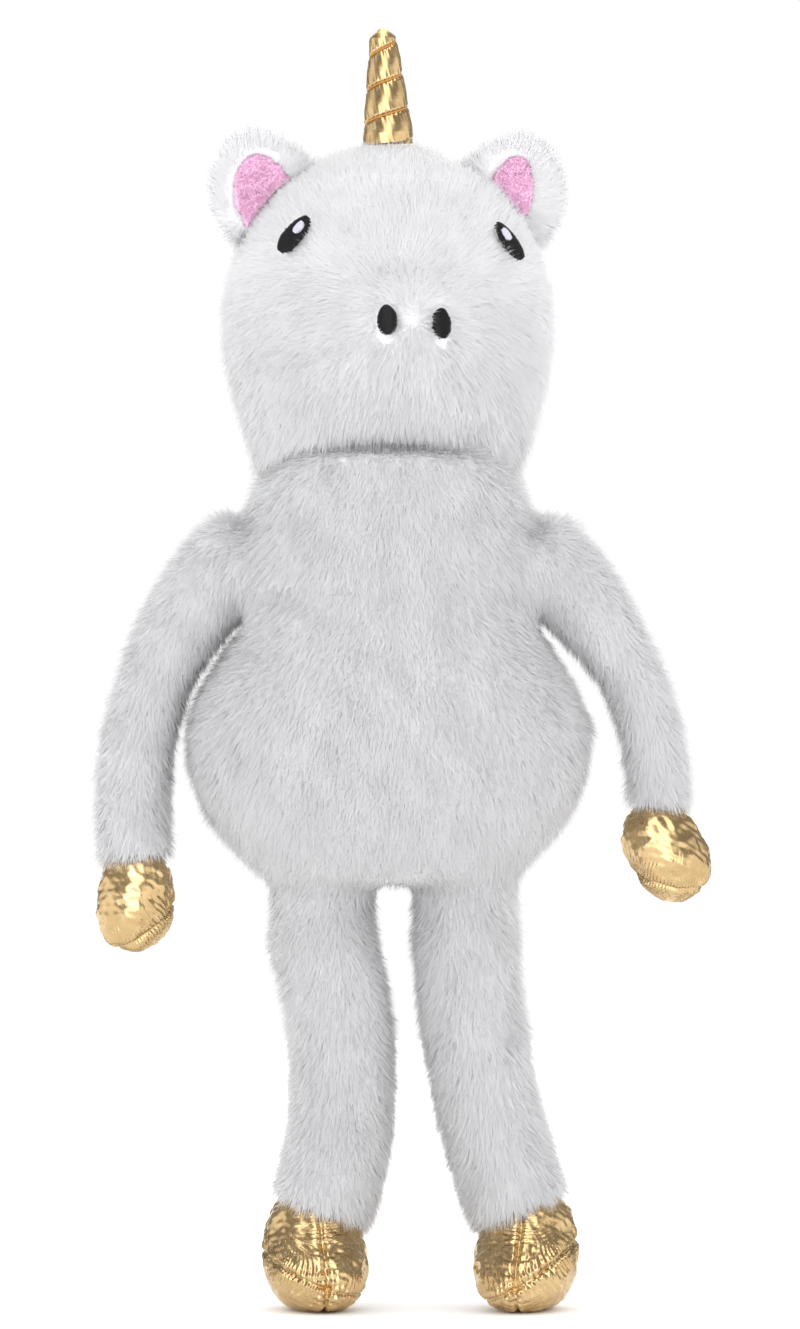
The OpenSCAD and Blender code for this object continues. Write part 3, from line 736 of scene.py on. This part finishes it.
class UNICORN_OT_head(UnicornOperator, bpy.types.Operator):
    """Make the head's stuffed fur skin, bare under the embroidery"""
    bl_idname = "unicorn.head"
    bl_label = "Head"

    def build(self, context):
        low, high = (np.array(corner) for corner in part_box("head_face_panel"))
        nose = (np.array(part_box("nostril_left")[0]) + np.array(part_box("nostril_right")[1])) / 2
        horn = np.array(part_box("horn_cover"))
        horn_foot = np.array([*horn.mean(axis=0)[:2], horn[0][2]])
        outlines = [Pad(f"{part}_{side}") for part in ("eye", "nostril") for side in SIDES]

        def keep(points):
            full = np.ones(len(points))
            for outline in outlines:
                full = np.minimum(full, outline.clear(points))
            near_horn = np.linalg.norm((points - horn_foot)[:, :2], axis=1)
            full = np.where(near_horn < 0.013, 0, full)
            return full * (1 + 0.5 * np.clip((low[2] + 0.03 - points[:, 2]) / 0.02, 0, 1))

        def comb(points, normals):
            away = unit(points - nose)
            crown = (points[:, 2:3] - nose[2]) / (high[2] - nose[2])
            up = np.array([0, 0, 1.0]) * np.clip(crown - 0.25, 0, 1)
            down = np.array([0, 0, -1.0]) * np.clip(0.55 - crown, 0, 1) * 1.4
            return away * 0.8 + up * 0.4 + down

        fur_body("head", ("head_face_panel", "head_back_panel", "head_stuffing"),
                 ("head_face_panel", "head_back_panel", "head_stuffing"), "head", comb, 23,
                 keep=keep, voxel=0.004, smooth=6, pile=0.0115, lift=0.38, swell=-0.0045,
                 halves=True)


class Pad:
    """An embroidered pad: its own axes, outline and outer surface."""

    def __init__(self, node):
        mesh = frame["nodes"][node].data
        points = read_points(frame["nodes"][node])
        spread = np.linalg.svd(points - points.mean(axis=0), full_matrices=False)[2]
        self.long, self.out = spread[0], spread[2]
        if self.out[1] > 0:
            self.out = -self.out
        if self.long[2] < 0:
            self.long = -self.long
        self.wide = np.cross(self.long, self.out)
        axes = np.stack([self.wide, self.long, self.out])
        flat = points @ axes.T
        self.middle = ((flat.min(axis=0) + flat.max(axis=0)) / 2) @ axes
        self.half = (flat.max(axis=0) - flat.min(axis=0)) / 2
        self.flat = (points - self.middle) @ axes.T
        self.edges = np.array([edge.vertices[:] for edge in mesh.edges])
        self.tree = BVHTree.FromPolygons([Vector(p) for p in points],
                                         [tuple(f.vertices) for f in mesh.polygons])

    def span(self, v):
        """How far the outline reaches each way at this height along the pad."""
        a, b = self.flat[self.edges[:, 0]], self.flat[self.edges[:, 1]]
        cross = (a[:, 1] - v) * (b[:, 1] - v) < 0
        a, b = a[cross], b[cross]
        share = (v - a[:, 1]) / (b[:, 1] - a[:, 1])
        reach = a[:, 0] + (b[:, 0] - a[:, 0]) * share
        return reach.min(), reach.max()

    def surface(self, u, v):
        """The point on the pad's outer face at these places across and along it."""
        spot = self.middle + self.wide * u + self.long * v
        start = spot + self.out * 0.02
        hit = self.tree.ray_cast(Vector(start), Vector(-self.out))[0]
        return np.array(hit if hit is not None else self.tree.find_nearest(Vector(spot))[0])

    def clear(self, points):
        """0 on the pad, rising to 1 a little way off it."""
        flat = points - self.middle
        u, v, w = flat @ self.wide, flat @ self.long, flat @ self.out
        edge = np.hypot(u / (self.half[0] + 0.0006), v / (self.half[1] + 0.0006))
        near = np.where(edge < 1, 0, np.clip(0.5 + (edge - 1) * 1.2, 0, 1))
        return np.where(np.abs(w) < 0.03, near, 1)


def satin(name, pad, pitch, rise, material, node, lift=0.0):
    """Rows of thread laid side by side across a pad, a little crowned."""
    top = pad.half[1] - pitch * 0.3
    rows = int(2 * top / pitch)
    points, faces = [], []
    rng = np.random.default_rng(rows)
    segments, sides = 7, 5
    for row in range(rows):
        v = -top + (2 * row + 1) / rows * top
        left, right = pad.span(v)
        left += rng.uniform(-0.0004, 0.0002)
        right += rng.uniform(-0.0002, 0.0004)
        for i in range(segments + 1):
            u = -1 + 2 * i / segments
            across = (left + right) / 2 + u * (right - left) / 2
            crown = rise * (1 - u * u) * (1 - 0.6 * (v / top) ** 2) + lift
            centre = pad.surface(across * 0.96, v) + pad.out * (crown + rng.uniform(-5e-5, 1e-4))
            if abs(u) == 1:
                centre = centre - pad.out * 0.001
            for j in range(sides):
                a = 2 * math.pi * j / sides
                points.append(centre + (pad.long * math.cos(a) + pad.out * math.sin(a))
                              * pitch * 0.6)
        start = row * (segments + 1) * sides
        for i in range(segments):
            for j in range(sides):
                k = (j + 1) % sides
                faces.append([start + i * sides + j, start + i * sides + k,
                              start + (i + 1) * sides + k, start + (i + 1) * sides + j])
        faces.append([start + j for j in reversed(range(sides))])
        faces.append([start + segments * sides + j for j in range(sides)])
    piece = new_piece(name, points, faces, material)
    outward(piece)
    shade_smooth(piece)
    return finish_piece(piece, "head", (node,))


class UNICORN_OT_face(UnicornOperator, bpy.types.Operator):
    """Stitch the eyes with their highlights, and the nostrils"""
    bl_idname = "unicorn.face"
    bl_label = "Embroidery"

    def build(self, context):
        face = context.scene.unicorn_face
        for side in SIDES:
            black, pale = finish_of("black"), finish_of("pale")
            satin(f"eye_{side}_stitching", Pad(f"eye_{side}"), face.stitch, 0.0012, black,
                  f"eye_{side}")
            satin(f"eye_{side}_highlight", Pad(f"eye_{side}_glint"), face.stitch, 0.0004, pale,
                  f"eye_{side}_glint", lift=0.0014)
            satin(f"nostril_{side}_stitching", Pad(f"nostril_{side}"), face.stitch, 0.001, black,
                  f"nostril_{side}")


class UNICORN_OT_ears(UnicornOperator, bpy.types.Operator):
    """Make the fur ears and their pink plush linings"""
    bl_idname = "unicorn.ears"
    bl_label = "Ears"

    def build(self, context):
        fur = context.scene.unicorn_fur
        for index, side in enumerate(SIDES):
            lining_box = np.array(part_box(f"ear_{side}_lining"))
            heart = lining_box.mean(axis=0)
            half = (lining_box[1] - lining_box[0]) / 2
            shell = copy_of(f"ear_{side}_skin", f"ear_{side}_shell")
            into = unit(np.array(joint_at("neck_nod")) + (0, 0, 0.05) - heart)
            extend(shell, heart, 0.92, into * 0.010)
            melt(shell, 0.002, 6)
            write_points(shell, read_points(shell) - read_normals(shell) * 0.0015)
            stuff(shell, pressure=2.0, cap=0.001)
            shade_smooth(shell)

            def comb(points, normals):
                away = points - (heart - np.array([0, 0, 0.012]))
                away[:, 1] *= 0.2
                return unit(away)

            def keep(points):
                flat = (points - heart) / (half + 0.0015)
                inside = np.hypot(flat[:, 0], flat[:, 2])
                front = points[:, 1] < heart[1] + 0.006
                return np.where(front & (inside < 1.0), 0, 1.0)

            pelt = grow_pile(f"ear_{side}_pile", shell, comb, 31 + index, finish_of("pile"), 1.3,
                             pile=0.0115, lift=0.30, keep=keep)
            finish_piece(shell, "head", (f"ear_{side}_shell",), finish_of("skin"))
            finish_piece(pelt, "head", ())
            inner = copy_of(f"ear_{side}_lining_skin", f"ear_{side}_lining")
            melt(inner, 0.0012, 4)
            shade_smooth(inner)
            plush = grow_pile(f"ear_{side}_lining_pile", inner, brushed((0, 0, 1)), 41 + index,
                              finish_of("pink pile"), 3.0, pile=fur.lining_pile, lift=0.7,
                              tuft=0.0005, clump=0.1)
            finish_piece(inner, "head", (f"ear_{side}_lining",),
                         finish_of("pink skin"))
            finish_piece(plush, "head", ())


class UNICORN_OT_horn(UnicornOperator, bpy.types.Operator):
    """Make the gold horn, drawn in by the thread wound round it"""
    bl_idname = "unicorn.horn"
    bl_label = "Horn"

    def build(self, context):
        gold = context.scene.unicorn_gold
        cad = read_points(frame["nodes"]["horn_cover"])
        low_ring = cad[cad[:, 2] < cad[:, 2].min() + 0.002]
        foot = low_ring.mean(axis=0)
        tip = cad[cad[:, 2] > cad[:, 2].max() - 0.0003].mean(axis=0)
        axis = unit(tip - foot)
        height = (tip - foot) @ axis
        aside = unit(np.cross([0, 1.0, 0], axis))
        ahead = np.cross(axis, aside)
        flat = cad - foot
        up = flat @ axis
        reach = np.linalg.norm(flat - up[:, None] * axis, axis=1)
        steps = np.linspace(0, height, 12)
        radii = [reach[np.abs(up - s) < height / 9].max() for s in steps]
        radii[-1] = 0.0022
        low, high = height * 0.035, height * 0.885
        pitch = (high - low) / gold.horn_turns
        rows, around = 150, 96
        points, faces = [], []

        def radius(z, turn):
            wide = np.interp(z, steps, radii)
            phase = (z - low) / pitch - turn
            near = (phase - round(phase)) * pitch
            inside = low - pitch * 0.3 < z < high + pitch * 0.3
            groove = 0.0013 * math.exp(-(near / 0.0012) ** 2) if inside else 0
            puff = 0.0008 * math.cos(math.pi * near / pitch) ** 2 if inside else 0
            wrinkle = 0.00045 * math.sin(turn * 2 * math.pi * 23 + 9 * z / pitch)
            wrinkle *= math.exp(-abs(near) / 0.0035)
            return max(0.0004, wide - groove - puff + 0.0005 + wrinkle)

        for row in range(rows):
            s = row / (rows - 1)
            z = height * s
            shrink = math.sqrt(max(0.0, 1 - max(0.0, (s - 0.93) / 0.07) ** 2))
            for k in range(around):
                turn = k / around
                a = 2 * math.pi * turn
                r = max(0.0003, radius(z, turn) * shrink)
                points.append(foot + axis * z + (aside * math.cos(a) + ahead * math.sin(a)) * r)
        for row in range(rows - 1):
            for k in range(around):
                n = (k + 1) % around
                faces.append([row * around + k, row * around + n, (row + 1) * around + n,
                              (row + 1) * around + k])
        faces.append([k for k in reversed(range(around))])
        faces.append([(rows - 1) * around + k for k in range(around)])
        horn = new_piece("horn_sleeve", points, faces)
        outward(horn)
        shade_smooth(horn)
        finish_piece(horn, "head", ("horn_cover", "horn_stuffing"), finish_of("gold"))
        twist, sides = [], 8
        turns = int(gold.horn_turns * 48)
        for i in range(turns + 1):
            z = low + (high - low) * i / turns
            turn = (z - low) / pitch
            a = 2 * math.pi * turn
            out = aside * math.cos(a) + ahead * math.sin(a)
            centre = foot + axis * z + out * (radius(z, turn) + 0.0003)
            for j in range(sides):
                b = 2 * math.pi * j / sides
                ply = 0.0006 * (1 + 0.16 * math.cos(2 * (b - i * 0.9)))
                twist.append(centre + out * math.cos(b) * ply + axis * math.sin(b) * ply)
        rings = [[i * sides + j, i * sides + (j + 1) % sides, (i + 1) * sides + (j + 1) % sides,
                  (i + 1) * sides + j] for i in range(turns) for j in range(sides)]
        rings.append(list(range(sides)))
        rings.append([turns * sides + j for j in range(sides)])
        cord = new_piece("horn_winding", twist, rings)
        outward(cord)
        shade_smooth(cord)
        finish_piece(cord, "head", ("horn_thread",), finish_of("amber"))


def outward(piece):
    """Turns every face of a closed piece to the outside."""
    activate(piece)
    bpy.ops.object.mode_set(mode="EDIT")
    bpy.ops.mesh.select_all(action="SELECT")
    bpy.ops.mesh.normals_make_consistent(inside=False)
    bpy.ops.object.mode_set(mode="OBJECT")


class UNICORN_OT_limbs(UnicornOperator, bpy.types.Operator):
    """Make the fur sleeves of the arms and legs, with cuffs that fringe over the hooves"""
    bl_idname = "unicorn.limbs"
    bl_label = "Arms and legs"

    def build(self, context):
        for index, (limb, root, end) in enumerate(
                ((f"{limb}_{side}", f"{root}_{side}", f"{end}_{side}")
                 for limb, root, end in (("arm", "shoulder", "wrist"), ("leg", "hip", "ankle"))
                 for side in SIDES)):
            start = np.array(joint_at(root))
            stop = np.array(joint_at(end))

            def comb(points, normals, start=start, stop=stop):
                down = unit(stop - start)
                drop = np.clip((start[2] - points[:, 2:3]) / (start[2] - stop[2]), 0, 1)
                return down * 0.6 + np.array([0, 0, -1.0]) * (0.4 + 0.4 * drop)

            fur_body(limb, (f"{limb}_sleeve", f"{limb}_stuffing"), (f"{limb}_stuffing",), limb,
                     comb, 51 + 5 * index, voxel=0.0035, smooth=5)


def seam_plane(one, other, near=0.0006):
    """The plane on which two sewn panels meet: a point on it and its normal."""
    a, b = read_points(frame["nodes"][one]), read_points(frame["nodes"][other])
    close = [p for p in a if np.min(np.linalg.norm(b - p, axis=1)) < near]
    close = np.array(close)
    middle = close.mean(axis=0)
    return middle, np.linalg.svd(close - middle, full_matrices=False)[2][2]


def sew(piece, seams, gold):
    """Draws a hoof in along its seams and puckers the fabric beside them."""
    points, normals = read_points(piece), read_normals(piece)
    move = np.zeros(len(points))
    for number, (middle, across, side) in enumerate(seams):
        gap = (points - middle) @ across
        round_about = unit(np.cross(across, [0.3, 1, 0.2]))
        other = np.cross(across, round_about)
        flat = points - middle
        angle = np.arctan2(flat @ round_about, flat @ other)
        girth = np.hypot(flat @ round_about, flat @ other).max()
        ripple = np.sin(angle * girth / gold.pucker_pitch * 2 * math.pi
                        + 2.2 * waves(points, 0.02, 80 + number))
        ripple = np.abs(ripple) ** 0.7 * np.sign(ripple)
        move -= gold.seam * np.exp(-(gap / 0.0015) ** 2)
        fade = np.exp(-np.abs(gap) / 0.0065) * (1 - np.exp(-(gap / 0.0012) ** 2))
        if side:
            fade = np.where(gap * side > 0, fade, fade * 0.35)
        move += gold.pucker * ripple * fade * 1.6
    move += 0.0007 * waves(points, 0.02, 90) + 0.0003 * waves(points, 0.006, 91)
    write_points(piece, points + normals * move[:, None])


def flatten(piece, level):
    """Presses what lies below a level flat on the ground."""
    points = read_points(piece)
    points[:, 2] = np.maximum(points[:, 2], level)
    write_points(piece, points)


class UNICORN_OT_hooves(UnicornOperator, bpy.types.Operator):
    """Make the four gold hooves, with their seams and puckers"""
    bl_idname = "unicorn.hooves"
    bl_label = "Hooves"

    def build(self, context):
        gold = context.scene.unicorn_gold
        for side in SIDES:
            hand = f"hand_{side}"
            hoof = copy_of(f"{hand}_hoof", f"{hand}_wrap", f"{hand}_sole", f"{hand}_stuffing")
            melt(hoof, 0.0016, 4)
            stuff(hoof, pressure=3.0, cap=0.0012, stiff=8.0)
            apply_modifier(hoof, "SUBSURF", levels=1, render_levels=1)
            sew(hoof, [(*seam_plane(f"{hand}_wrap", f"{hand}_sole"), 0)], gold)
            shade_smooth(hoof)
            finish_piece(hoof, hand, (f"{hand}_wrap", f"{hand}_sole",
                                                   f"{hand}_stuffing"), finish_of("gold"))
            foot = f"foot_{side}"
            nodes = [f"{foot}_{part}" for part in ("outer_panel", "inner_panel", "sole",
                                                   "stuffing")]
            hoof = copy_of(f"{foot}_hoof", *nodes)
            melt(hoof, 0.0018, 4)
            stuff(hoof, pressure=3.0, cap=0.0012, stiff=8.0)
            apply_modifier(hoof, "SUBSURF", levels=1, render_levels=1)
            sew(hoof, [(*seam_plane(f"{foot}_outer_panel", f"{foot}_sole"), 0),
                       (*seam_plane(f"{foot}_outer_panel", f"{foot}_inner_panel"), 0)], gold)
            flatten(hoof, 0.0)
            shade_smooth(hoof)
            finish_piece(hoof, foot, nodes, finish_of("gold"))


class UNICORN_OT_closing(UnicornOperator, bpy.types.Operator):
    """Lay the ladder stitches that close the back"""
    bl_idname = "unicorn.closing"
    bl_label = "Closing seam"

    def build(self, context):
        thread = copy_of("closing_stitches", "closing_seam_thread")
        shade_smooth(thread)
        finish_piece(thread, "torso", ("closing_seam_thread",),
                     finish_of("white thread"))


STEPS = (UNICORN_OT_stage, UNICORN_OT_torso, UNICORN_OT_head, UNICORN_OT_face, UNICORN_OT_ears,
         UNICORN_OT_horn, UNICORN_OT_limbs, UNICORN_OT_hooves, UNICORN_OT_closing)


class UNICORN_PT_panel(bpy.types.Panel):
    """The toy's steps and settings, in the sidebar"""
    bl_idname = "UNICORN_PT_panel"
    bl_label = "Soft Toy Unicorn"
    bl_space_type = "VIEW_3D"
    bl_region_type = "UI"
    bl_category = "Unicorn"

    def draw(self, context):
        for step in STEPS:
            self.layout.operator(step.bl_idname)
        for group in ("unicorn_fur", "unicorn_gold", "unicorn_face", "unicorn_stage"):
            settings = getattr(context.scene, group)
            box = self.layout.box()
            for name in settings.__annotations__:
                box.prop(settings, name)


GROUPS = {"unicorn_fur": UnicornFur, "unicorn_gold": UnicornGold, "unicorn_face": UnicornFace,
          "unicorn_stage": UnicornStage}


def register():
    for group in GROUPS.values():
        bpy.utils.register_class(group)
    for cls in (*STEPS, UNICORN_PT_panel):
        bpy.utils.register_class(cls)
    for name, group in GROUPS.items():
        setattr(bpy.types.Scene, name, PointerProperty(type=group))


def unregister():
    for name in GROUPS:
        delattr(bpy.types.Scene, name)
    for cls in (UNICORN_PT_panel, *reversed(STEPS)):
        bpy.utils.unregister_class(cls)
    for group in GROUPS.values():
        bpy.utils.unregister_class(group)


def main():
    register()
    for step in STEPS:
        family, action = step.bl_idname.split(".")
        getattr(getattr(bpy.ops, family), action)()


if __name__ == "__main__":
    main()
